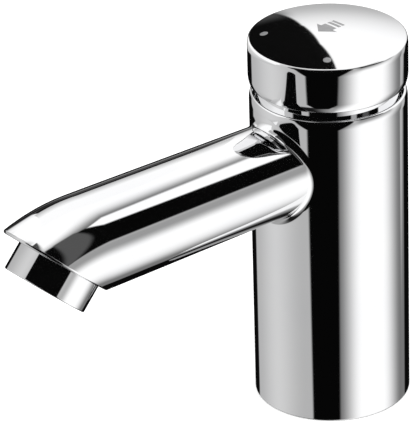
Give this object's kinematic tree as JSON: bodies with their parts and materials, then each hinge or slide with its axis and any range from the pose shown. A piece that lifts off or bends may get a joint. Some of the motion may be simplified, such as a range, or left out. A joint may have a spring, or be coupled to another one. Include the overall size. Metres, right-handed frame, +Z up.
{
  "type": "push timed tap",
  "caption": "Basin tap with a round column, level spout and domed cap that is pressed for a timed flow and turned to mix hot and cold.",
  "frame": {"origin": "centre of the base, on the face that stands on the basin", "axes": "+Z up along the column; the spout points along -Y; +X is on the right seen from the spout's side, looking along +Y"},
  "size_m": [0.0484, 0.1426, 0.1221],
  "materials": {
    "chromed_brass": "polished chrome plate on brass",
    "raw_brass": "machined",
    "stainless_steel": "drawn or turned stainless steel",
    "white_plastic": "moulded acetal",
    "grey_plastic": "moulded acetal",
    "ceramic": "lapped ceramic",
    "seal_rubber": "moulded nitrile rubber",
    "mark_enamel": "inlaid enamel"
  },
  "bodies": {
    "tap_body": {"body_casting": "chromed_brass", "inlet_manifold": "raw_brass", "base_seal": "seal_rubber", "manifold_o_ring": "seal_rubber", "port_seals": "seal_rubber", "cartridge_housing": "white_plastic", "cartridge_o_rings": "seal_rubber", "fixed_disc": "ceramic", "retaining_ring": "raw_brass", "temperature_stop": "white_plastic", "gap_collar": "chromed_brass", "aerator_housing": "chromed_brass", "aerator_washer": "seal_rubber", "aerator_insert": "grey_plastic", "flow_limiter": "white_plastic", "aerator_screen": "stainless_steel"},
    "spindle": {"mixing_disc": "ceramic", "mixing_sleeve": "raw_brass", "timing_floor": "white_plastic", "spindle_head": "raw_brass", "head_o_ring": "seal_rubber", "return_spring": "stainless_steel"},
    "push_set": {"push_cap": "chromed_brass", "hot_mark": "mark_enamel", "cold_mark": "mark_enamel", "cap_grub_screw": "stainless_steel", "push_rod": "stainless_steel", "valve_seal": "seal_rubber", "valve_disc": "raw_brass", "valve_nut": "raw_brass", "piston": "white_plastic", "piston_seal": "seal_rubber", "piston_clips": "stainless_steel"}
  },
  "joints": [
    {"name": "heat_turn", "type": "hinge", "parent": "tap_body", "child": "spindle", "pos_m": [0, 0, 0.09], "axis": [0, 0, 1], "range_deg": [-52.5, 43.5]},
    {"name": "cap_push", "type": "slide", "parent": "spindle", "child": "push_set", "axis": [0, 0, 1], "range_m": [-0.0025, 0], "stiffness_N_per_m": 4000, "springref_m": 0.0015, "deforming": ["return_spring"]}
  ]
}
